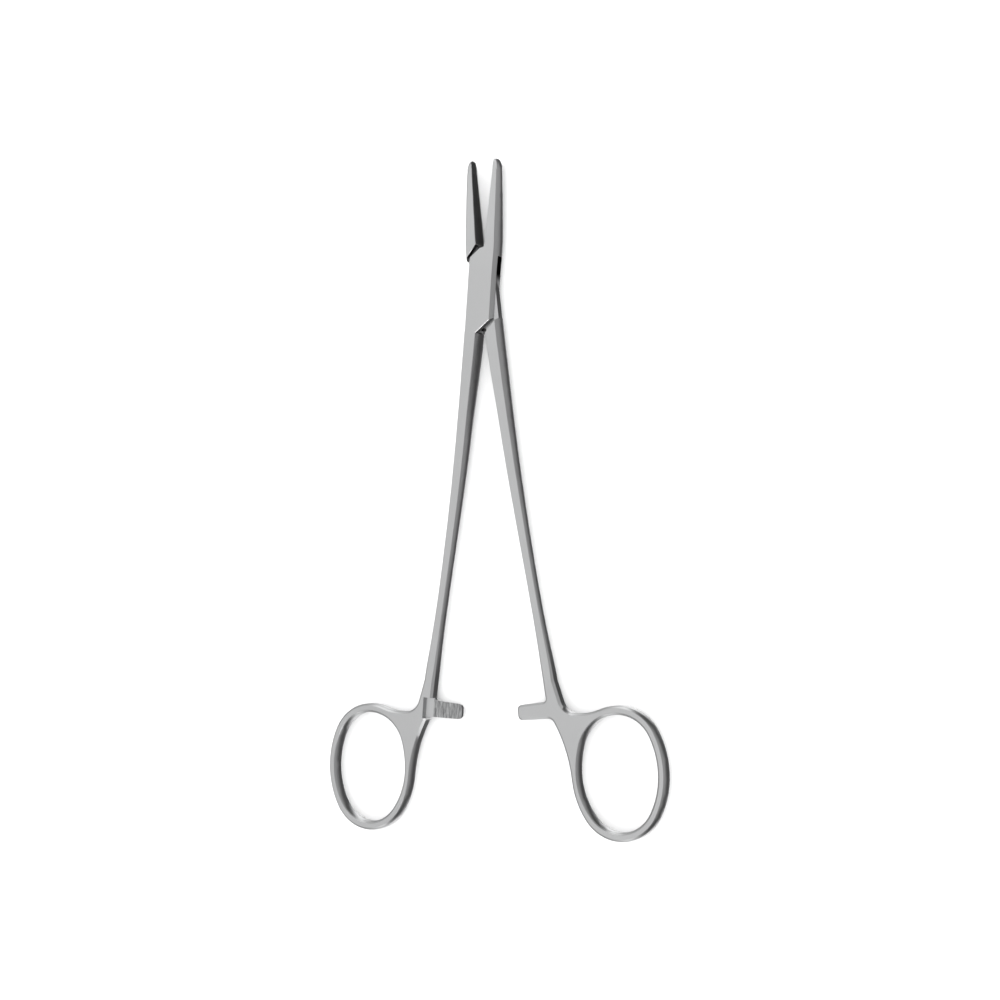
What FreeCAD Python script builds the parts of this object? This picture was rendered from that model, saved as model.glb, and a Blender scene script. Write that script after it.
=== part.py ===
import FreeCAD, Part
import math
import os
from FreeCAD import Vector

# Straight needle holder with a box lock and a ratchet, lying flat on its underside.
# +X runs to the right, +Y towards the jaw tips, +Z up. The origin is on the pivot axis at the
# underside of the box. Both halves are drawn closed about the mid plane z = 0, then each is
# turned open about the pivot by half the stored opening and lifted by half the box thickness.

# Pose
open_half_angle = 5.35          # each half is stored turned open by this, degrees

# Main lengths
jaw_tip_y = 35.05               # pivot axis to the jaw tips
shank_length = 93.0             # end of the box to the web of the finger ring

# Box lock
box_thickness = 5.0
box_face_half = 3.4             # half width of the flat front face
box_bulge = 0.95                # how far the barrelled sides stand past the face edge
box_foot_y = -12.0              # the shanks leave the box here
edge_break = 0.12
tenon_thickness = 2.1
tenon_gap = 0.05                # clearance over and under the tenon
tenon_left = 3.05               # tenon edge on the jaw side of the pivot
tenon_right = 4.1               # tenon edge on the shank side of the pivot
slot_end_angle = 59.5           # direction of the mortise end wall's normal, degrees
slot_end_distance = 9.6         # mortise end wall from the pivot axis
slot_end_gap = 0.2              # tenon stays this far from the end wall
tenon_root_y = 9.5              # the tenon's right edge ends here, inside the shank
tenon_in_body = 1.2             # how far the tenon runs into the full-thickness metal
jaw_root_gap = 0.14
shoulder_angle = 42.0           # slope of the slanted shoulders, degrees
upper_cheek_end = 8.34          # cheek end under the jaw, from the pivot axis
upper_shoulder_gap = 0.16
lower_cheek_end = 8.73          # cheek end over the shank, from the pivot axis
lower_shoulder_gap = 0.67
crotch_y = 10.9                 # foot of the gap between the jaws
crotch_slope = 16.0             # slope of the cheek end beside the crotch, degrees
pin_radius = 1.5
pin_clearance = 0.05
grinding_stock = 0.03           # left on the forging's flats, then ground off

box_half_thickness = box_thickness / 2
forged_half = box_half_thickness + grinding_stock
box_side = box_face_half + box_bulge

# Jaws
jaw_root_y = 8.0
jaw_line_lean = 1.25            # the jaw line leans to the right by this, degrees
jaw_line_offset = 0.18
jaw_wedge = 0.28                # each grip face is relieved towards the box by this, degrees
jaw_touch_setback = 1.0         # the grip faces meet first this far behind the tips
tip_ball_radius = 0.95          # the rounded end is a ball that runs into a cone
tip_cone_angle = 20.0           # between the cone's side and its axis, degrees
tip_cone_end = 4.5              # the cone is drawn this far back from the tip
tip_axis_x = 0.25               # their axis runs this far outside the grip face
tip_overrun = 0.8               # the jaw is drawn past its tip by this, then rounded
# share of the jaw's length, half width from the jaw line, half thickness, bulge of the outer side
jaw_stations = [
    (0.0, 4.07, forged_half, 0.95),
    (0.18, 3.94, forged_half, 0.97),
    (0.323, 3.62, 2.38, 0.97),
    (0.431, 3.36, 2.21, 0.96),
    (0.539, 3.08, 2.03, 0.94),
    (0.646, 2.78, 1.86, 0.92),
    (0.754, 2.45, 1.70, 0.88),
    (0.862, 2.10, 1.56, 0.82),
    (1.0, 1.60, 1.40, 0.72),
]

# Cross-hatched teeth of the grip faces
hatch_pitch = 0.77              # along the edge of the face
hatch_angle = 45.0              # grooves run at this to the face's length, both ways, degrees
hatch_depth = 0.27
hatch_crest = 0.01              # the crests lie this far under the plane of the face
hatch_start = 0.9               # above the crotch

# Shanks: share of the length, inner side, outer side, half thickness, inner and outer bulge, edge
shank_root_y = -6.0
bow_half_thickness = 1.7
bow_edge = 0.6                  # bevel of the long edges of the ring, web and ratchet bar
bow_joint_inner = 6.38
bow_joint_outer = 9.48
flat_side = 0.02                # bulge of a side that is all but flat
shank_stations = [
    (0.0, 0.12, box_side + 0.07, forged_half, 0.2, 0.93, edge_break),
    (0.086, 0.32, 4.53, 2.42, 0.3, 0.85, edge_break),
    (0.198, 0.86, 4.68, 2.2, 0.42, 0.7, edge_break),
    (0.341, 1.46, 5.04, 1.86, 0.54, 0.56, edge_break),
    (0.484, 2.42, 5.62, 1.57, 0.48, 0.48, edge_break),
    (0.628, 3.56, 6.42, 1.42, 0.43, 0.43, 0.14),
    (0.770, 4.72, 7.40, 1.38, 0.41, 0.41, 0.18),
    (0.892, 5.62, 8.54, 1.42, 0.36, 0.36, 0.30),
    (1.0, bow_joint_inner, bow_joint_outer, bow_half_thickness, flat_side, flat_side, bow_edge),
]
bow_joint_y = box_foot_y - shank_length

# Finger ring. Near is the side by the web, far the side away from it, and ends are top and bottom.
ring_centre_x = 24.8
ring_drop = 24.8                # the ring's middle lies this far below the end of the shank
ring_lean = 4.2                 # the ring's top leans outwards by this, degrees
opening_near = 11.1
opening_far = 10.68
opening_end = 14.68
band_near = 2.0
band_far = 2.25
band_end = 2.25
opening_end_radii = {"near_top": 10.5, "far_top": 9.5, "far_bottom": 9.3, "near_bottom": 9.2}

# Web that joins the ring to the shank
web_overrun = 2.0
web_outer_lean = 13.1           # slope of the web's outer side, degrees
web_corner_radius = 4.2         # hollow corner between that side and the saddle
web_saddle_radius = 17.0        # shallow hollow that runs up to the ring's top
web_joins_ring_top = 20.2       # on the near side of the ring's top, degrees
web_joins_ring_side = 5.0       # below the ring's nearest side, degrees

# Ratchet bars
bar_drop = 7.4                  # the bar's middle lies this far below the end of the shank
bar_tip_x = -1.8                # the bar reaches past the closed centre line by this
bar_root_height = 4.5
bar_tip_height = 3.9
bar_end_round = 1.2
bar_sunk = 1.2
bar_root_round_top = 0.8
bar_root_round_low = 2.0
web_meets_bar_x = 6.75          # the shank's inner side ends here, just above the bar's middle
web_leaves_bar_x = 7.3          # the web's inner side starts here, just below it
web_meets_bar_rise = 0.4
web_leaves_bar_fall = 1.2
ratchet_reach_low = 2.6         # the step is cut this far past the bar's middle
ratchet_reach_top = 2.9
bar_half_gap = 0.08             # from the mid plane to the tooth crests
tooth_count = 4
tooth_pitch = 1.95
tooth_height = 0.42
pad_length = 2.75               # smooth end of the bar
pad_drop = 0.12
tooth_run_off = 0.35

bar_y = bow_joint_y - bar_drop
pivot = Vector(0, 0, 0)
up = Vector(0, 0, 1)
far = 200.0
clear = 1.0                     # cutting blocks stand this far past what they cut


def side_corners(x_side, face_side, half_thickness, bulge, edge):
    """Corner points of one barrelled side: where its edge bevel leaves the flat, and where it
    meets the side. face_side is +1 for a side that faces +X and -1 for one that faces -X."""
    side_radius = (half_thickness ** 2 + bulge ** 2) / (2 * bulge)
    corner_z = half_thickness - edge
    corner_x = x_side - face_side * (side_radius - math.sqrt(side_radius ** 2 - corner_z ** 2))
    return (corner_x - face_side * edge, half_thickness), (corner_x, corner_z)


def section(y, x_left, x_right, half_thickness, bulge_left, bulge_right, edge):
    """A barrel-sided section across the instrument, in a plane of constant y."""
    def at(point, flip=1):
        return Vector(point[0], y, flip * point[1])

    left_top, left = side_corners(x_left, -1, half_thickness, bulge_left, edge)
    right_top, right = side_corners(x_right, 1, half_thickness, bulge_right, edge)
    edges = [
        Part.LineSegment(at(left_top), at(right_top)),
        Part.LineSegment(at(right_top), at(right)),
        Part.Arc(at(right), Vector(x_right, y, 0), at(right, -1)),
        Part.LineSegment(at(right, -1), at(right_top, -1)),
        Part.LineSegment(at(right_top, -1), at(left_top, -1)),
        Part.LineSegment(at(left_top, -1), at(left, -1)),
        Part.Arc(at(left, -1), Vector(x_left, y, 0), at(left)),
        Part.LineSegment(at(left), at(left_top)),
    ]
    return Part.Wire([edge.toShape() for edge in edges])


def prism(points, low, high):
    """A straight-sided block on a plan outline."""
    corners = [Vector(x, y, low) for x, y in points]
    face = Part.Face(Part.makePolygon(corners + corners[:1]))
    return face.extrude(up * (high - low))


def beyond(angle, distance):
    """Everything past a plan line: angle is its normal's direction, distance is from the pivot."""
    block = Part.makeBox(far, 2 * far, 2 * far, Vector(distance, -far, -far))
    block.rotate(pivot, up, angle)
    return block


def below(y):
    return Part.makeBox(2 * far, 3 * far, 2 * far, Vector(-far, y - 3 * far, -far))


def ground(body):
    """The forging ground flat to the thickness of the box."""
    return body.common(Part.makeBox(2 * far, 2 * far, box_thickness, Vector(-far, -far, -box_half_thickness)))


def jaw_line(y):
    return jaw_line_offset + y * math.tan(math.radians(jaw_line_lean))


def jaw_y(share):
    return jaw_root_y + share * (jaw_tip_y + tip_overrun - jaw_root_y)


def on_grip(shape, hand):
    """A shape drawn about the origin with the grip face in the plane x = 0 and the tip up along y,
    moved to the grip face of one jaw. hand is +1 for the right-hand jaw."""
    touch_y = jaw_tip_y - jaw_touch_setback
    shape.rotate(pivot, up, hand * jaw_wedge - jaw_line_lean)
    shape.translate(Vector(jaw_line(touch_y), touch_y, 0))
    return shape


def grip_side(hand):
    """Everything on the other side of one jaw's grip face."""
    return on_grip(Part.makeBox(far, 2 * far, 2 * far, Vector(0 if hand < 0 else -far, -far, -far)), hand)


def hatch(hand, slope):
    """Grooves across a grip face, all running one way: a saw-toothed blade pushed along them."""
    low = crotch_y + hatch_start - (jaw_tip_y - jaw_touch_setback)
    high = jaw_touch_setback + clear
    groove_pitch = hatch_pitch * math.cos(math.radians(hatch_angle))
    half_blade = (high - low + box_thickness) / 2
    count = math.ceil(2 * half_blade / groove_pitch)
    start = -count * groove_pitch / 2
    profile = [(hand * -clear, start)]
    for groove in range(count):
        foot = start + groove * groove_pitch
        profile += [(hand * hatch_crest, foot), (hand * hatch_depth, foot + groove_pitch / 2)]
    profile += [(hand * hatch_crest, -start), (hand * -clear, -start)]
    corners = [Vector(x, y, -half_blade) for x, y in profile]
    blade = Part.Face(Part.makePolygon(corners + corners[:1])).extrude(up * 2 * half_blade)
    blade.rotate(pivot, Vector(1, 0, 0), slope * hatch_angle)
    blade.translate(Vector(0, (low + high) / 2, 0))
    window = Part.makeBox(2 * clear, high - low, 2 * box_thickness, Vector(-clear, low, -box_thickness))
    return on_grip(blade.common(window), hand)


def hatched(jaw, hand):
    """The jaw with its grip face cut into small pyramids by two crossing sets of grooves."""
    return jaw.cut(hatch(hand, 1)).cut(hatch(hand, -1))


def tip_shape(hand):
    """All that lies within the jaw's bullet-shaped end: a ball that runs smoothly into a cone."""
    axis_x = jaw_line(jaw_tip_y) + hand * tip_axis_x
    lean = math.radians(tip_cone_angle)
    ball = Vector(axis_x, jaw_tip_y - tip_ball_radius, 0)
    tip = Vector(axis_x, jaw_tip_y, 0)
    foot = Vector(axis_x, jaw_tip_y - tip_cone_end, 0)
    half_way = (math.pi / 2 - lean) / 2
    on_ball = ball + Vector(math.sin(half_way), math.cos(half_way), 0) * tip_ball_radius
    touch = ball + Vector(math.cos(lean), math.sin(lean), 0) * tip_ball_radius
    rim = Vector(touch.x + (touch.y - foot.y) * math.tan(lean), foot.y, 0)
    outline = Part.Wire([Part.Arc(tip, on_ball, touch).toShape(), Part.makeLine(touch, rim),
                         Part.makeLine(rim, foot), Part.makeLine(foot, tip)])
    nose = Part.Face(outline).revolve(tip, Vector(0, 1, 0), 360)
    return nose.fuse(below(foot.y))


def box_and_jaw():
    """The jaw half of the box half: right-hand jaw, both cheeks and the solid metal above the slot."""
    _, _, foot_side, foot_thick, _, foot_bulge, foot_edge = shank_stations[0]
    wires = [section(box_foot_y, -foot_side, box_side, foot_thick, foot_bulge, box_bulge, foot_edge)]
    for share in (0.75, 0.5, 0.25, 0.0, -0.25, -0.45):
        wires.append(section(share * box_foot_y, -box_side, box_side, forged_half, box_bulge, box_bulge,
                             edge_break))
    for share, width, half, bulge in jaw_stations:
        y = jaw_y(share)
        wires.append(section(y, -box_side, jaw_line(y) + width, half, box_bulge, bulge, edge_break))
    body = Part.makeLoft(wires, True, False)

    # The cheeks end on slanted shoulders, and on a flatter step beside the crotch.
    rise = math.tan(math.radians(shoulder_angle))
    crotch_x = jaw_line(crotch_y)
    step = math.tan(math.radians(crotch_slope))
    diagonal_y = upper_cheek_end / math.cos(math.radians(shoulder_angle))
    corner_x = (crotch_y - crotch_x * step - diagonal_y) / (rise - step)
    corner_y = diagonal_y + corner_x * rise
    above = prism([(-far, diagonal_y - far * rise), (corner_x, corner_y),
                   (crotch_x + clear, crotch_y + clear * step), (crotch_x + clear, far), (-far, far)], -far, far)
    body = body.cut(above.common(grip_side(1)))
    body = body.cut(beyond(shoulder_angle - 90, lower_cheek_end))
    return body.common(tip_shape(1))


def left_jaw():
    """The left-hand jaw down to its slanted shoulder."""
    wires = []
    for share, width, half, bulge in jaw_stations:
        y = jaw_y(share)
        wires.append(section(y, jaw_line(y) - width, jaw_line(y) + width, half, bulge, bulge, edge_break))
    jaw = Part.makeLoft(wires, True, False).cut(grip_side(-1)).common(tip_shape(-1))
    return jaw.common(beyond(90 + shoulder_angle, upper_cheek_end + upper_shoulder_gap))


def shank():
    """The right-hand shank, from inside the box to the web of its ring."""
    wires = [section(shank_root_y, *shank_stations[0][1:])]
    wires += [section(box_foot_y - share * shank_length, *sizes) for share, *sizes in shank_stations]
    return Part.makeLoft(wires, True, False)


def plan_point(centre, radius, angle):
    return centre + Vector(radius * math.cos(math.radians(angle)), radius * math.sin(math.radians(angle)), 0)


def plan_arc(centre, radius, start, end):
    """An arc in plan between two directions, in degrees."""
    points = [plan_point(centre, radius, angle) for angle in (start, (start + end) / 2, end)]
    return Part.Arc(*points).toShape()


def oval_arcs(grown):
    """The ring's oval, a side arc and an end arc in each quarter, all touching one another. grown
    is 0 for the opening and 1 for the outside. Each arc is centre, radius, start and end."""
    middle = Vector(ring_centre_x, bow_joint_y - ring_drop, -bow_half_thickness)
    half_length = opening_end + grown * band_end
    half_widths = {"near": opening_near + grown * band_near, "far": opening_far + grown * band_far}
    across = {"near": 180 - ring_lean, "far": -ring_lean}
    along = {"top": 90 - ring_lean, "bottom": -90 - ring_lean}
    arcs = {}
    for quarter, opening_radius in opening_end_radii.items():
        side, end = quarter.split("_")
        end_radius = opening_radius + grown * band_end
        half_width = half_widths[side]
        end_step = half_length - end_radius
        side_radius = (end_step ** 2 + half_width ** 2 - end_radius ** 2) / (2 * (half_width - end_radius))
        swing = math.degrees(math.atan2(end_step, side_radius - half_width))
        turn = (along[end] - across[side] + 180) % 360 - 180
        meets = across[side] + math.copysign(swing, turn)
        side_centre = plan_point(middle, half_width - side_radius, across[side])
        end_centre = plan_point(middle, end_step, along[end])
        arcs[quarter + "_side"] = (side_centre, side_radius, across[side], meets)
        arcs[quarter + "_end"] = (end_centre, end_radius, meets, across[side] + turn)
    return arcs


def web_outer_edges(start, ring_top):
    """Outer side of the web: a straight side, a hollow corner and a saddle up to the ring's top."""
    centre, radius = ring_top[:2]
    meets = 90 - ring_lean + web_joins_ring_top
    saddle = plan_point(centre, radius + web_saddle_radius, meets)
    down = plan_point(pivot, 1, web_outer_lean - 90)
    away = plan_point(pivot, 1, web_outer_lean)
    offset = start + away * web_corner_radius - saddle
    along = offset.dot(down)
    reach = web_saddle_radius - web_corner_radius
    slide = -along + math.sqrt(along ** 2 - offset.dot(offset) + reach ** 2)
    corner = start + away * web_corner_radius + down * slide
    turn = corner - saddle
    leaves = math.degrees(math.atan2(turn.y, turn.x)) + 360
    corner_edge = plan_arc(corner, web_corner_radius, web_outer_lean + 180, leaves)
    saddle_edge = plan_arc(saddle, web_saddle_radius, leaves, meets + 180)
    return [Part.makeLine(start, start + down * slide), corner_edge, saddle_edge]


def web_inner_edge(end, ring_side):
    """Inner side of the web: one arc that touches the ring and ends inside the ratchet bar."""
    centre, radius = ring_side[:2]
    meets = 180 - ring_lean + web_joins_ring_side
    start = plan_point(centre, radius, meets)
    outward = plan_point(pivot, 1, meets)
    chord = end - start
    web_radius = chord.dot(chord) / (2 * chord.dot(outward))
    web_centre = start + outward * web_radius
    middle = (start + end) / 2 - web_centre
    return Part.Arc(start, web_centre + middle / middle.Length * web_radius, end).toShape()


def web_edges(low):
    """Plan edges of the web and ring: the end in the shank, outer side, ring and inner side."""
    ring = oval_arcs(1)
    outer_slope = math.tan(math.radians(web_outer_lean))
    start_outer = Vector(bow_joint_outer - web_overrun * outer_slope, bow_joint_y + web_overrun, low)
    inner_line = [start_outer, Vector(bow_joint_inner, bow_joint_y + web_overrun, low),
                  Vector(bow_joint_inner, bow_joint_y, low),
                  Vector(web_meets_bar_x, bar_y + web_meets_bar_rise, low),
                  Vector(web_leaves_bar_x, bar_y - web_leaves_bar_fall, low)]
    edges = [Part.makeLine(a, b) for a, b in zip(inner_line, inner_line[1:])]
    edges += web_outer_edges(start_outer, ring["near_top_end"])
    centre, radius, _, top = ring["near_top_end"]
    edges.append(plan_arc(centre, radius, top + web_joins_ring_top, top))
    for name in ("far_top_end", "far_top_side", "far_bottom_side", "far_bottom_end", "near_bottom_end"):
        edges.append(plan_arc(*ring[name]))
    centre, radius, side, end = ring["near_bottom_side"]
    edges.append(plan_arc(centre, radius, side + web_joins_ring_side, end))
    edges.append(web_inner_edge(inner_line[-1], ring["near_bottom_side"]))
    return edges


def ratchet_bar():
    """The ratchet bar at the full thickness of the bow, with its end corners rounded."""
    tip = bar_tip_height / 2
    root = bar_root_height / 2
    root_x = web_leaves_bar_x + bar_sunk
    outline = [(bar_tip_x, bar_y - tip), (root_x, bar_y - root), (root_x, bar_y + root), (bar_tip_x, bar_y + tip)]
    bar = prism(outline, -bow_half_thickness, bow_half_thickness)
    corners = [e for e in bar.Edges if is_upright(e) and e.CenterOfMass.x < web_meets_bar_x]
    return bar.makeFillet(bar_end_round, corners)


def is_upright(edge):
    return edge.BoundBox.ZLength > bow_half_thickness and edge.BoundBox.XLength < edge_break


def bar_root_edges(blank, y):
    """The upright edge where the bar's side at y meets the shank's or the web's inner side."""
    uprights = [e for e in blank.Edges if is_upright(e)]
    return [min(uprights, key=lambda e: math.hypot(e.CenterOfMass.x - web_meets_bar_x, e.CenterOfMass.y - y))]


def bow():
    """Finger ring, web and ratchet bar, with all long edges bevelled."""
    low, high = -bow_half_thickness, bow_half_thickness
    web = Part.Face(Part.Wire(Part.__sortEdges__(web_edges(low)))).extrude(up * (high - low))
    blank = web.fuse(ratchet_bar()).removeSplitter()
    blank = blank.makeFillet(bar_root_round_top, bar_root_edges(blank, bar_y + bar_root_height / 2))
    blank = blank.makeFillet(bar_root_round_low, bar_root_edges(blank, bar_y - bar_root_height / 2))
    opening = [plan_arc(*arc) for arc in oval_arcs(0).values()]
    hole = Part.Face(Part.Wire(Part.__sortEdges__(opening))).extrude(up * (high - low))
    blank = blank.cut(hole)
    end_y = bow_joint_y + web_overrun
    rims = [e for e in blank.Edges if e.BoundBox.ZLength < edge_break and abs(e.CenterOfMass.y - end_y) > edge_break]
    return blank.makeChamfer(bow_edge, rims).common(below(bow_joint_y))


def ratchet_cut():
    """What is taken from the bar's lower half: a saw-toothed step with a smooth pad at the end.
    The steep flanks face away from the bar's tip."""
    crest = bar_half_gap
    x = bar_tip_x - clear
    outline = [(x, -far), (x, crest + pad_drop), (bar_tip_x + pad_length, crest + pad_drop),
               (bar_tip_x + pad_length + tooth_run_off, crest)]
    x = bar_tip_x + pad_length + tooth_run_off
    for tooth in range(tooth_count):
        outline += [(x, crest + tooth_height), (x + tooth_pitch, crest)]
        x += tooth_pitch
    outline += [(x, -far)]
    corners = [Vector(x, bar_y - ratchet_reach_low, z) for x, z in outline]
    face = Part.Face(Part.makePolygon(corners + corners[:1]))
    return face.extrude(Vector(0, ratchet_reach_low + ratchet_reach_top, 0))


def handle():
    """Right-hand shank, web, ring and ratchet bar in one forging, teeth on the lower side."""
    return shank().fuse(bow()).cut(ratchet_cut())


def tenon_plate():
    """The thin plate that passes through the box."""
    half = tenon_thickness / 2
    inner = shank_stations[0][1]
    jaw_side = jaw_line(crotch_y) - jaw_root_gap
    reach = slot_end_distance - slot_end_gap
    normal_x = math.cos(math.radians(slot_end_angle))
    normal_y = math.sin(math.radians(slot_end_angle))

    def end_wall(x):
        return (reach - normal_x * x) / normal_y

    outline = [
        (tenon_right, -tenon_root_y), (tenon_right, end_wall(tenon_right)),
        (jaw_side, end_wall(jaw_side)), (jaw_side, crotch_y + tenon_in_body),
        (-tenon_left + tenon_in_body, crotch_y + tenon_in_body), (-tenon_left, crotch_y - tenon_in_body),
        (-tenon_left, -end_wall(tenon_left)), (inner, -end_wall(-inner)),
        (inner, -crotch_y - tenon_in_body), (tenon_right - tenon_in_body, -crotch_y - tenon_in_body),
    ]
    return prism(outline, -half, half)


def pin_blank(radius):
    return Part.makeCylinder(radius, box_thickness, Vector(0, 0, -box_half_thickness))


def box_half():
    """Right-hand jaw, box cheeks and left-hand shank, ring and ratchet, teeth up."""
    half_slot = tenon_thickness / 2 + tenon_gap
    slot = Part.makeBox(2 * far, 2 * far, 2 * half_slot, Vector(-far, -far, -half_slot))
    slot = slot.cut(beyond(slot_end_angle, slot_end_distance))
    slot = slot.cut(beyond(slot_end_angle + 180, slot_end_distance))
    beside_shank = Part.makeBox(far, far, 2 * half_slot, Vector(-shank_stations[0][1], -far, -half_slot))
    slot = slot.fuse(beside_shank)
    left_handle = handle().common(below(box_foot_y))
    left_handle.rotate(pivot, Vector(0, 1, 0), 180)
    body = ground(box_and_jaw().cut(slot).fuse(left_handle))
    return hatched(body.cut(pin_blank(pin_radius)), 1)


def tenon_half():
    """Left-hand jaw, tenon and right-hand shank, ring and ratchet, teeth down."""
    right_handle = handle().common(beyond(shoulder_angle - 90, lower_cheek_end + lower_shoulder_gap))
    body = ground(right_handle.fuse([tenon_plate(), left_jaw()]))
    return hatched(body.cut(pin_blank(pin_radius + pin_clearance)), -1)


def turned(shape, hand):
    """From the closed pose to the stored one: hand is +1 for the half that turns anticlockwise."""
    shape = shape.copy()
    shape.rotate(pivot, up, hand * open_half_angle)
    shape.translate(up * box_half_thickness)
    return shape


def report(name, shape):
    print(name, shape.isValid(), len(shape.Solids), round(shape.Volume, 3), len(shape.Faces))


if __name__ == "__main__":
    os.makedirs("parts", exist_ok=True)
    parts = {
        "box_half": turned(box_half(), -1),
        "tenon_half": turned(tenon_half(), 1),
        "pivot_pin": turned(pin_blank(pin_radius), -1),
    }
    for name, shape in parts.items():
        report(name, shape)
        shape.exportStep(os.path.join("parts", name + ".step"))
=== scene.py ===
import math

import bmesh
import bpy
from mathutils import Matrix, Vector


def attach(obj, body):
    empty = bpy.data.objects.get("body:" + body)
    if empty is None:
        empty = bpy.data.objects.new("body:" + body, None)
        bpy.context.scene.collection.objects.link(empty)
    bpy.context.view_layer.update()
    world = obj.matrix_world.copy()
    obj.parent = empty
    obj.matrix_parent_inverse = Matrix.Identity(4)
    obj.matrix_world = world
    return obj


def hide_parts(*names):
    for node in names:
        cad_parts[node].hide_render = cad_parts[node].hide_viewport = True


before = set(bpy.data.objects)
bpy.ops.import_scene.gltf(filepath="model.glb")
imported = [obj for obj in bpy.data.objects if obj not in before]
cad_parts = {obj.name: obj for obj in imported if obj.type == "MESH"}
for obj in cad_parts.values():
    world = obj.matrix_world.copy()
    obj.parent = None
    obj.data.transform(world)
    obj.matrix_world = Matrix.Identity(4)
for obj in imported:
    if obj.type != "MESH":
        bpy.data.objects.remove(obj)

# Straight needle holder with a box lock, lying open on its underside.
# +Y runs to the jaw tips and +Z up through the flat faces. The frame is in metres.

MM = 0.001

# The photograph's camera. It swings about +Y, then tilts and rolls about its own axes.
CAMERA_PLACE = Vector((214.04, -88.44, 397.78)) * MM
CAMERA_SWING = 0.4886922655
CAMERA_TILT = 0.0711851184
CAMERA_ROLL = -0.0165133392
FOCAL_PIXELS = 1706.333
PHOTO_PIXELS = 1000
SENSOR = 36.0
CLIP_START = 0.01
CLIP_END = 20.0

# Colours
STEEL_DARK = (0.560, 0.565, 0.568, 1.0)
STEEL_LIGHT = (0.640, 0.644, 0.646, 1.0)
MILLED_GREY = (0.210, 0.212, 0.214, 1.0)
# painted shade: in the slot's mouths, in the gap under the jaw and on the shoulders' end faces
PAINTED_SHADE_BLACK = (0.030, 0.030, 0.030, 1.0)
# painted shade in the grooves between the grip's teeth
GROOVE_SHADE = (0.110, 0.110, 0.112, 1.0)
# painted highlight on the shoulders' polished rims
RIM_HIGHLIGHT = (0.930, 0.930, 0.930, 1.0)
FLOOR_WHITE = (0.930, 0.930, 0.930, 1.0)
WHITE = (1.0, 1.0, 1.0, 1.0)

# Shine
STEEL_ROUGHNESS = 0.32
RIM_ROUGHNESS = 0.14            # the slanted shoulders have a polished rim; its colour is a painted highlight
MILLED_ROUGHER = 0.12           # and the ratchet's tooth field is rougher than the rest by this
FLOOR_ROUGHNESS = 0.9
BUMP_STRENGTH = 0.12
BUMP_DISTANCE = 0.02 * MM

# Noises in the steel, with scales per millimetre
GRAIN = {"scale": 9.0, "detail": 3.0}
MARKS = {"scale": 5.0, "detail": 4.0, "roughness": 0.6}
MARKS_STRETCH = (1.0, 0.06, 1.0)
CLOUD = {"scale": 0.09, "detail": 2.0}
CUTS = {"scale": 2.6, "detail": 3.0, "roughness": 0.7}
CUTS_STRETCH = (1.0, 0.12, 1.0)
NOISE_MIDDLE = 0.5

# How far each noise swings the tone, the roughness and the relief
TONE_MIDDLE = 0.5
TONE_CLOUD = 0.5
TONE_MARKS = 0.35
ROUGH_GRAIN = 0.10
ROUGH_CLOUD = 0.08
ROUGH_MARKS = 0.08
RELIEF_GRAIN = 0.6
RELIEF_MARKS = 0.4
RELIEF_CUTS = 1.5
CUTS_CONTRAST = 3.0
CUTS_LEVEL = 0.6

# Places on the instrument, in millimetres
HALF_THICK = 2.5
HALF_TURN = math.radians(5.35)  # each half lies turned open by this
SLOT_END_ANGLE = math.radians(59.5)  # facing of the slot's end walls
SLOT_END = 9.6                  # and how far they lie from the pivot axis
SHOULDER_FACING = math.radians(-48)  # facing of the slanted shoulders
JAW_SHOULDER = 8.50             # from the pivot axis to the jaw's end face
CHEEK_SHOULDER = 8.73           # and to the end face of the cheeks
SHOULDER_CHAMFER = 0.24
JAW_TIP_Y = 35.05
JAW_TOUCH_Y = 34.05             # the grip faces meet first here
JAW_LINE_OFFSET = 0.18
JAW_LINE_LEAN = math.radians(1.25)
JAW_WEDGE = math.radians(0.28)
GROOVE_DEPTH = 0.27
GRIP_HALF = 2.85                # half height of the grip face, drawn down to the pivot axis
GRIP_THINNING = 0.0435          # and how fast it falls towards the tip
BAR_Y = -112.4                  # middle of the ratchet bars, before the half's turn
BAR_REACH = 2.6

# Bands of the painted shade, the painted highlight and the milled finish, in millimetres: from, to,
# and how softly they end
SLOT_Z = (1.40, 3.60, 0.10)
MOUTH_X = (1.0, 9.0, 0.4)
GAP_ACROSS = (-CHEEK_SHOULDER, -7.8, 0.15)
GAP_X = (-3.3, 1.5, 0.2)
GAP_Z = (0.25, 4.75, 0.03)
GROOVES = (-0.10, 0.29, 0.03)
GRIP_Y = (11.0, 40.0, 0.2)
END_FACE_HEIGHT = (0.0, 2.25, 0.01)
RIM_HEIGHT = (2.27, 2.485, 0.012)
FIELD_X = (-6.6, 3.0, 0.4)
FIELD_Y = (BAR_Y - BAR_REACH, BAR_Y + BAR_REACH, 0.3)
FIELD_Z = (1.6, 3.95, 0.15)

MOUTH_SHADE_START = 1.6          # painted shade in the mouths of the slot, deepening from here towards the end wall
MOUTH_SHADE_RUN = 2.2
WALL_SOFT = 0.05
GRIP_EDGE_SOFT = 0.1
# the painted shade between the grip's teeth
GROOVE_CONTRAST = 2.4
GROOVE_START = 0.5
END_FACE_NEAR = 0.03
END_FACE_SOFT = 0.02
# how much painted shade the slanted end face gets
END_FACE_SHADE = 0.9

# Rounded jaw ends, in millimetres. They are blunter than in the solids.
TIP_STRETCH = 0.55              # thicker by this share
TIP_WIDEN = 0.25                # and wider
TIP_FULL = 1.6                  # in full up to this far behind the tip
TIP_END = 3.3                   # and not at all from here
TIP_PLACE_Y = 32.0              # the flats limit the thickness: at this place on the jaw
TIP_PLACE_HALF = 1.56           # it is twice this,
TIP_THINNING = 0.0416           # and each flat falls this fast
GRIP_KEEP = 0.35                # nothing is widened up to this depth behind the grip face

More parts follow.
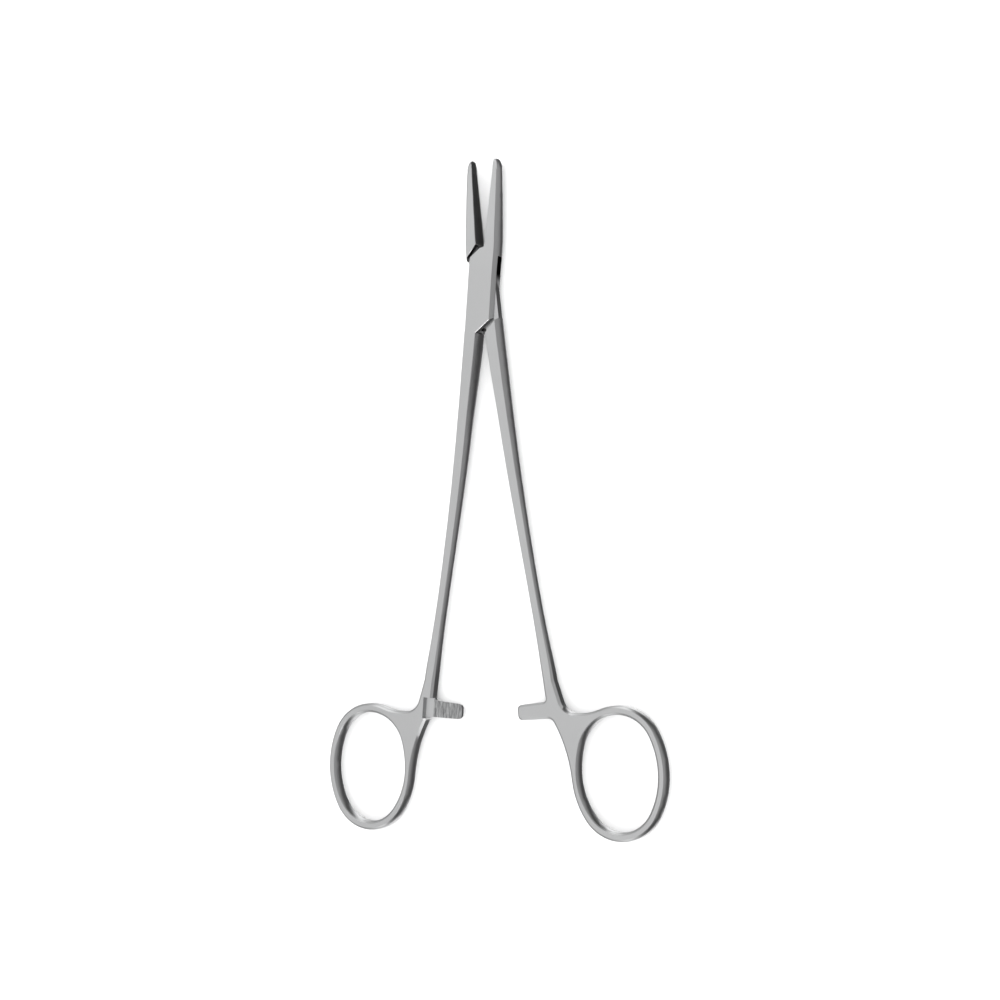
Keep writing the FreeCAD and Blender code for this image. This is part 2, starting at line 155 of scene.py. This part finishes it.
# Dressing of the meshes
JOIN_NEAR = 0.0005 * MM
SMOOTH_ANGLE = math.radians(20)
RING_SMOOTH_ANGLE = math.radians(50)
RING_X = 22 * MM                # a ring lies outside this, left and right,
RING_Y = -104 * MM              # and below this
FLAT_LIMIT = math.cos(math.radians(12))
RIM_Z = 2.45 * MM               # a rim edge is at least this far from mid-thickness
SHOULDER_NEAR = 0.02 * MM
FLATS_LEAD = 80

# Surroundings
FLOOR_SIZE = 4.0
ROOM_LIGHT = 1.7
# What the steel mirrors: place across the room, from -1 on the left to 1, and brightness
LOW_GLOW = [(-1.0, 0.35), (-0.5, 0.55), (-0.22, 1.40), (-0.05, 0.80), (0.12, 0.15), (0.3, 0.04),
            (0.6, 0.07), (0.85, 0.28), (1.0, 0.40)]
HIGH_GLOW = [(-1.0, 0.50), (-0.6, 0.76), (-0.46, 0.77), (0.1, 0.88), (0.45, 0.72), (0.75, 0.42),
             (0.95, 0.36)]
FAR_END_LIFT = (0.20, 0.40, 1.22)  # towards the jaws, between these places, it rises by this factor
HORIZON = (-0.05, 0.45)         # the low glow gives way to the high one between these heights
FRONT_BOX_PLACE = (0.42, -0.79, 0.47)
FRONT_BOX_SIZE = (0.38, 0.26)
FRONT_BOX_WATTS = 0.7


class Value:
    """A shader socket that Python arithmetic works on. Each operator adds its Math node."""

    def __init__(self, sheet, socket):
        self.sheet = sheet
        self.socket = socket

    def _math(self, operation, *values):
        return self.sheet.node("ShaderNodeMath", {"operation": operation}, values)

    def __add__(self, other):
        return self._math("ADD", self, other)

    def __sub__(self, other):
        return self._math("SUBTRACT", self, other)

    def __rsub__(self, other):
        return self._math("SUBTRACT", other, self)

    def __mul__(self, other):
        return self._math("MULTIPLY", self, other)

    def __truediv__(self, other):
        return self._math("DIVIDE", self, other)

    def sign(self):
        return self._math("SIGN", self)

    def absolute(self):
        return self._math("ABSOLUTE", self)

    def clamp(self):
        return self.sheet.node("ShaderNodeClamp", {}, [self, 0.0, 1.0])


class Sheet:
    """The node tree of a material or of the world, filled by one method that adds any node."""

    def __init__(self, owner):
        self.owner = owner
        owner.use_nodes = True
        self.tree = owner.node_tree
        self.tree.nodes.clear()

    def node(self, kind, settings, sockets, output=0):
        made = self.tree.nodes.new(kind)
        for name, value in settings.items():
            if name == "stops":
                self._stops(made.color_ramp, value)
            else:
                setattr(made, name, value)
        pairs = sockets.items() if isinstance(sockets, dict) else enumerate(sockets)
        for key, value in pairs:
            if isinstance(value, Value):
                self.tree.links.new(value.socket, made.inputs[key])
            else:
                made.inputs[key].default_value = value
        return Value(self, made.outputs[output])

    @staticmethod
    def _stops(ramp, stops):
        while len(ramp.elements) < len(stops):
            ramp.elements.new(1.0)
        for element, (place, grey) in zip(ramp.elements, stops):
            element.position = place
            element.color = (grey, grey, grey, 1.0)

    def place(self, scale=(1.0, 1.0, 1.0), turn=0.0):
        """The point on the piece in millimetres, turned about +Z, then stretched by scale."""
        point = self.node("ShaderNodeTexCoord", {}, [], "Object")
        turned = self.node("ShaderNodeMapping", {"vector_type": "POINT"},
                           {"Vector": point, "Rotation": (0.0, 0.0, turn)})
        factors = tuple(s / MM for s in scale)
        return self.node("ShaderNodeMapping", {"vector_type": "POINT"},
                         {"Vector": turned, "Scale": factors})

    def axes(self, point):
        return [self.node("ShaderNodeSeparateXYZ", {}, [point], axis) for axis in range(3)]

    @staticmethod
    def band(value, low, high, soft):
        """1 between low and high, falling to 0 within soft outside them."""
        return ((value - low) / soft + 1.0).clamp() * ((high - value) / soft + 1.0).clamp()

    def noise(self, point, scale, detail, roughness=0.5):
        return self.node("ShaderNodeTexNoise", {}, {"Vector": point, "Scale": scale, "Detail": detail,
                                                    "Roughness": roughness})

    def mix(self, factor, first, second):
        return self.node("ShaderNodeMix", {"data_type": "RGBA"}, {0: factor, 6: first, 7: second}, 2)

    def finish(self, surface, end_kind="ShaderNodeOutputMaterial"):
        end = self.tree.nodes.new(end_kind)
        self.tree.links.new(surface.socket, end.inputs["Surface"])
        return self.owner


def swing(noise, share):
    """A noise turned into a swing of share about nothing."""
    return (noise - NOISE_MIDDLE) * share


def grip_plane(hand):
    """The turn of a jaw's grip face out of the plane x = 0, and its place across after that turn
    is undone. hand is +1 for the right-hand jaw."""
    turn = hand * (JAW_WEDGE - HALF_TURN) - JAW_LINE_LEAN
    touch_x = JAW_LINE_OFFSET + JAW_TOUCH_Y * math.tan(JAW_LINE_LEAN)
    undone = hand * JAW_WEDGE - JAW_LINE_LEAN
    return turn, touch_x * math.cos(undone) + JAW_TOUCH_Y * math.sin(undone)


def shoulder(hand):
    """The facing of a half's slanted end face, and its place along that facing."""
    return SHOULDER_FACING - hand * HALF_TURN, CHEEK_SHOULDER if hand > 0 else -JAW_SHOULDER


def painted_slot_shade(sheet):
    """Painted shade: 1 deep in the mouths of the slot and in the gap under the left-hand jaw."""
    x, y, z = sheet.axes(sheet.place())
    to_wall = sheet.axes(sheet.place(turn=HALF_TURN - SLOT_END_ANGLE))[0]
    mouths = (sheet.band(x.absolute(), *MOUTH_X)
              * ((x.sign() * y - MOUTH_SHADE_START) / MOUTH_SHADE_RUN).clamp()
              * ((SLOT_END - to_wall.absolute()) / WALL_SOFT + 1.0).clamp())
    across_gap = sheet.axes(sheet.place(turn=-SHOULDER_FACING))[0]
    gap = sheet.band(across_gap, *GAP_ACROSS) * sheet.band(x, *GAP_X) * sheet.band(z, *GAP_Z)
    return (sheet.band(z, *SLOT_Z) * mouths + gap).clamp()


def painted_groove_shade(sheet, height, hand):
    """Painted shade on the grip face: 0 at the teeth's points and 1 in the grooves between them."""
    turn, plane_x = grip_plane(hand)
    across_grip, up_jaw, _ = sheet.axes(sheet.place(turn=-turn))
    groove = (across_grip - plane_x) * hand
    face_half = GRIP_HALF - up_jaw * GRIP_THINNING
    on_face = (sheet.band(groove, *GROOVES) * ((face_half - height) / GRIP_EDGE_SOFT).clamp()
               * sheet.band(up_jaw, *GRIP_Y))
    return on_face * ((groove / GROOVE_DEPTH) * GROOVE_CONTRAST - GROOVE_START).clamp()


def shoulder_masks(sheet, height, hand):
    """Two masks: painted shade, 1 on the slanted end face, and a painted highlight with the polish, 1
    on the chamfer along its rims.
    """
    facing, edge = shoulder(hand)
    across = sheet.axes(sheet.place(turn=-facing))[0]
    end_face_shade = (sheet.band(across, edge - END_FACE_NEAR, edge + END_FACE_NEAR, END_FACE_SOFT)
                * sheet.band(height, *END_FACE_HEIGHT))
    rim_polish_and_highlight = (sheet.band(across, edge - SHOULDER_CHAMFER, edge + END_FACE_NEAR, END_FACE_SOFT)
           * sheet.band(height, *RIM_HEIGHT))
    return end_face_shade, rim_polish_and_highlight


def satin_steel(name, hand, milled=False):
    """Satin stainless steel: a fine grain, faint lengthwise polishing marks, a slow cloudiness in
    the shine, painted shade in the slot, under the shoulders and between the jaw's teeth, and a
    painted highlight on the shoulders' polished rims. A milled half has the dull cross-cut tooth
    field of the ratchet on its bar."""
    sheet = Sheet(bpy.data.materials.new(name))
    grain = sheet.noise(sheet.place(), **GRAIN)
    marks = sheet.noise(sheet.place(MARKS_STRETCH), **MARKS)
    cloud = sheet.noise(sheet.place(), **CLOUD)
    tone = swing(cloud, TONE_CLOUD) + swing(marks, TONE_MARKS) + TONE_MIDDLE
    roughness = (swing(grain, ROUGH_GRAIN) + swing(cloud, ROUGH_CLOUD) + swing(marks, ROUGH_MARKS)
                 + STEEL_ROUGHNESS)
    relief = grain * RELIEF_GRAIN + marks * RELIEF_MARKS

    z = sheet.axes(sheet.place())[2]
    height = (z - HALF_THICK).absolute()
    end_face_shade, rim_polish_and_highlight = shoulder_masks(sheet, height, hand)
    colour = sheet.mix(tone.clamp(), STEEL_DARK, STEEL_LIGHT)
    # painted shade in the mouths of the slot and in the gap under the left-hand jaw
    colour = sheet.mix(painted_slot_shade(sheet), colour, PAINTED_SHADE_BLACK)
    # painted shade in the grooves between the jaw's teeth
    colour = sheet.mix(painted_groove_shade(sheet, height, hand), colour, GROOVE_SHADE)
    # painted shade on the slanted end face of the shoulder
    colour = sheet.mix(end_face_shade * END_FACE_SHADE, colour, PAINTED_SHADE_BLACK)
    # painted highlight on the rim chamfer of the slanted shoulder
    colour = sheet.mix(rim_polish_and_highlight, colour, RIM_HIGHLIGHT)
    roughness = roughness + rim_polish_and_highlight * (RIM_ROUGHNESS - STEEL_ROUGHNESS)

    if milled:
        turn = hand * HALF_TURN
        bar_x, bar_y, _ = sheet.axes(sheet.place(turn=turn))
        field = sheet.band(bar_x, *FIELD_X) * sheet.band(bar_y, *FIELD_Y) * sheet.band(z, *FIELD_Z)
        cuts = sheet.noise(sheet.place(CUTS_STRETCH, turn), **CUTS)
        shade = (swing(cuts, CUTS_CONTRAST) + CUTS_LEVEL).clamp()
        colour = sheet.mix(field * shade, colour, MILLED_GREY)
        roughness = roughness + field * MILLED_ROUGHER
        relief = relief + field * cuts * RELIEF_CUTS
    bump = sheet.node("ShaderNodeBump", {}, {
        "Strength": BUMP_STRENGTH, "Distance": BUMP_DISTANCE, "Height": relief})
    surface = sheet.node("ShaderNodeBsdfPrincipled", {}, {
        "Base Color": colour, "Metallic": 1.0, "Roughness": roughness, "Normal": bump})
    return sheet.finish(surface)


def floor_white():
    sheet = Sheet(bpy.data.materials.new("floor_white"))
    surface = sheet.node("ShaderNodeBsdfPrincipled", {}, {
        "Base Color": FLOOR_WHITE, "Roughness": FLOOR_ROUGHNESS})
    return sheet.finish(surface)


def blends(one, other):
    """True where two triangles lie on one smooth surface. They meet at a small angle, and either
    both or neither belong to a ground flat. On the hand-rounded rings the angle may be larger."""
    corner = one.calc_center_median()
    bend = one.normal.angle(other.normal, math.pi)
    on_ring = abs(corner.x) > RING_X and corner.y < RING_Y
    flats = [abs(face.normal.z) > FLAT_LIMIT for face in (one, other)]
    return bend < (RING_SMOOTH_ANGLE if on_ring else SMOOTH_ANGLE) and flats[0] == flats[1]


def on_shoulder(edge, hand):
    """True for an edge along the rim of a slanted end face, front or back."""
    angle, distance = shoulder(hand)
    facing = Vector((math.cos(angle), math.sin(angle), 0.0))
    return all(abs(v.co.dot(facing) - distance * MM) < SHOULDER_NEAR
               and abs(v.co.z - HALF_THICK * MM) > RIM_Z for v in edge.verts)


def blunted(work, hand):
    """Thickens the rounded end of a jaw up to the planes of its flats, and widens its back."""
    turn, plane_x = grip_plane(hand)
    outward = Vector((math.cos(turn), math.sin(turn), 0.0)) * hand
    for vert in work.verts:
        up_jaw = (vert.co.x * math.sin(hand * HALF_TURN) + vert.co.y * math.cos(HALF_TURN)) / MM
        behind_tip = JAW_TIP_Y - up_jaw
        if behind_tip < TIP_END:
            share = min(max((TIP_END - behind_tip) / (TIP_END - TIP_FULL), 0.0), 1.0)
            ease = share * share * (3 - 2 * share)
            limit = (TIP_PLACE_HALF - (up_jaw - TIP_PLACE_Y) * TIP_THINNING) * MM
            height = vert.co.z - HALF_THICK * MM
            reach = min(abs(height) * (1 + TIP_STRETCH * ease), limit)
            vert.co.z = HALF_THICK * MM + math.copysign(max(reach, abs(height)), height)
            behind_grip = vert.co.dot(outward) - plane_x * hand * MM
            if behind_grip > GRIP_KEEP * MM:
                vert.co += outward * ((behind_grip - GRIP_KEEP * MM) * TIP_WIDEN * ease)


def dressed(node, name, body, material, hand=0):
    """A copy of a CAD node with its triangles joined and its smooth sides shaded smooth. A half
    (hand +1 or -1) also gets blunter jaw ends and a chamfer along its slanted shoulder."""
    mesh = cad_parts[node].data.copy()
    mesh.name = name
    work = bmesh.new()
    work.from_mesh(mesh)
    bmesh.ops.remove_doubles(work, verts=work.verts, dist=JOIN_NEAR)
    bmesh.ops.dissolve_degenerate(work, edges=work.edges, dist=JOIN_NEAR)
    if hand:
        blunted(work, hand)
    for face in work.faces:
        face.smooth = True
    work.normal_update()
    for edge in work.edges:
        edge.smooth = edge.is_contiguous and blends(*edge.link_faces)
    if hand:
        weight = work.edges.layers.float.new("bevel_weight_edge")
        for edge in work.edges:
            edge[weight] = float(not edge.smooth and on_shoulder(edge, hand))
    work.to_mesh(mesh)
    work.free()
    mesh.materials.clear()
    mesh.materials.append(material)
    piece = bpy.data.objects.new(name, mesh)
    bpy.context.scene.collection.objects.link(piece)
    if hand:
        chamfer = piece.modifiers.new("shoulder_chamfer", "BEVEL")
        chamfer.limit_method = "WEIGHT"
        chamfer.width = SHOULDER_CHAMFER * MM
        chamfer.segments = 1
        chamfer.use_clamp_overlap = False
    weigh = piece.modifiers.new("flat_faces_lead", "WEIGHTED_NORMAL")
    weigh.keep_sharp = True
    weigh.weight = FLATS_LEAD
    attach(piece, body)
    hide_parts(node)
    return piece


def floor(material):
    """A plain pale floor that the instrument lies on."""
    half = FLOOR_SIZE / 2
    outline = [(-half, -half, 0.0), (half, -half, 0.0), (half, half, 0.0), (-half, half, 0.0)]
    mesh = bpy.data.meshes.new("floor")
    mesh.from_pydata(outline, [], [(0, 1, 2, 3)])
    mesh.materials.append(material)
    piece = bpy.data.objects.new("floor", mesh)
    bpy.context.scene.collection.objects.link(piece)
    piece.visible_glossy = False
    return piece


def softbox(name, place, size, watts):
    """A rectangular lamp that faces the pivot of the instrument."""
    light = bpy.data.lights.new(name, "AREA")
    light.shape = "RECTANGLE"
    light.size, light.size_y = size
    light.energy = watts
    lamp = bpy.data.objects.new(name, light)
    lamp.location = place
    lamp.rotation_mode = "QUATERNION"
    lamp.rotation_quaternion = (-Vector(place)).to_track_quat("-Z", "Y")
    bpy.context.scene.collection.objects.link(lamp)
    return lamp


def surroundings():
    """A pale room. What the steel mirrors is drawn apart from what lights the floor: brighter
    overhead, and below the horizon bright on the left and dark on the right."""
    world = bpy.data.worlds.new("room")
    bpy.context.scene.world = world
    sheet = Sheet(world)
    x, y, z = sheet.axes(sheet.node("ShaderNodeTexCoord", {}, [], "Generated"))
    across = sheet.node("ShaderNodeMapRange", {}, {"Value": x, "From Min": -1.0, "From Max": 1.0})
    low, high = (sheet.node("ShaderNodeValToRGB",
                            {"stops": [((place + 1) / 2, glow) for place, glow in glows]},
                            {"Fac": across}) for glows in (LOW_GLOW, HIGH_GLOW))
    rise = sheet.node("ShaderNodeMapRange", {"interpolation_type": "SMOOTHSTEP"},
                      {"Value": z, "From Min": HORIZON[0], "From Max": HORIZON[1]})
    start, full, lift = FAR_END_LIFT
    strength = sheet.node("ShaderNodeMapRange", {}, {
        "Value": y, "From Min": start, "From Max": full, "To Min": 1.0, "To Max": lift})
    mirrored = sheet.node("ShaderNodeBackground", {}, {
        "Color": sheet.mix(rise, low, high), "Strength": strength})
    plain = sheet.node("ShaderNodeBackground", {}, {"Color": WHITE, "Strength": ROOM_LIGHT})
    glossy = sheet.node("ShaderNodeLightPath", {}, [], "Is Glossy Ray")
    sheet.finish(sheet.node("ShaderNodeMixShader", {}, [glossy, plain, mirrored]),
                 "ShaderNodeOutputWorld")


def camera():
    """The photograph's view."""
    axes = (Matrix.Rotation(CAMERA_SWING, 3, "Y") @ Matrix.Rotation(CAMERA_TILT, 3, "X")
            @ Matrix.Rotation(CAMERA_ROLL, 3, "Z"))
    lens = bpy.data.cameras.new("camera")
    lens.sensor_width = SENSOR
    lens.lens = FOCAL_PIXELS / PHOTO_PIXELS * SENSOR
    lens.clip_start = CLIP_START
    lens.clip_end = CLIP_END
    eye = bpy.data.objects.new("camera", lens)
    eye.matrix_world = Matrix.Translation(CAMERA_PLACE) @ axes.to_4x4()
    bpy.context.scene.collection.objects.link(eye)
    bpy.context.scene.camera = eye


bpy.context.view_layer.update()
box_steel = satin_steel("satin_steel_box_side", 1, milled=True)
tenon_steel = satin_steel("satin_steel_tenon_side", -1)
dressed("box_half", "box_side_forging", "box_side", box_steel, 1)
dressed("tenon_half", "tenon_side_forging", "tenon_side", tenon_steel, -1)
dressed("pivot_pin", "flush_rivet", "box_side", tenon_steel)
floor(floor_white())
surroundings()
softbox("front", FRONT_BOX_PLACE, FRONT_BOX_SIZE, FRONT_BOX_WATTS)
camera()
bpy.context.scene.view_settings.view_transform = "Standard"
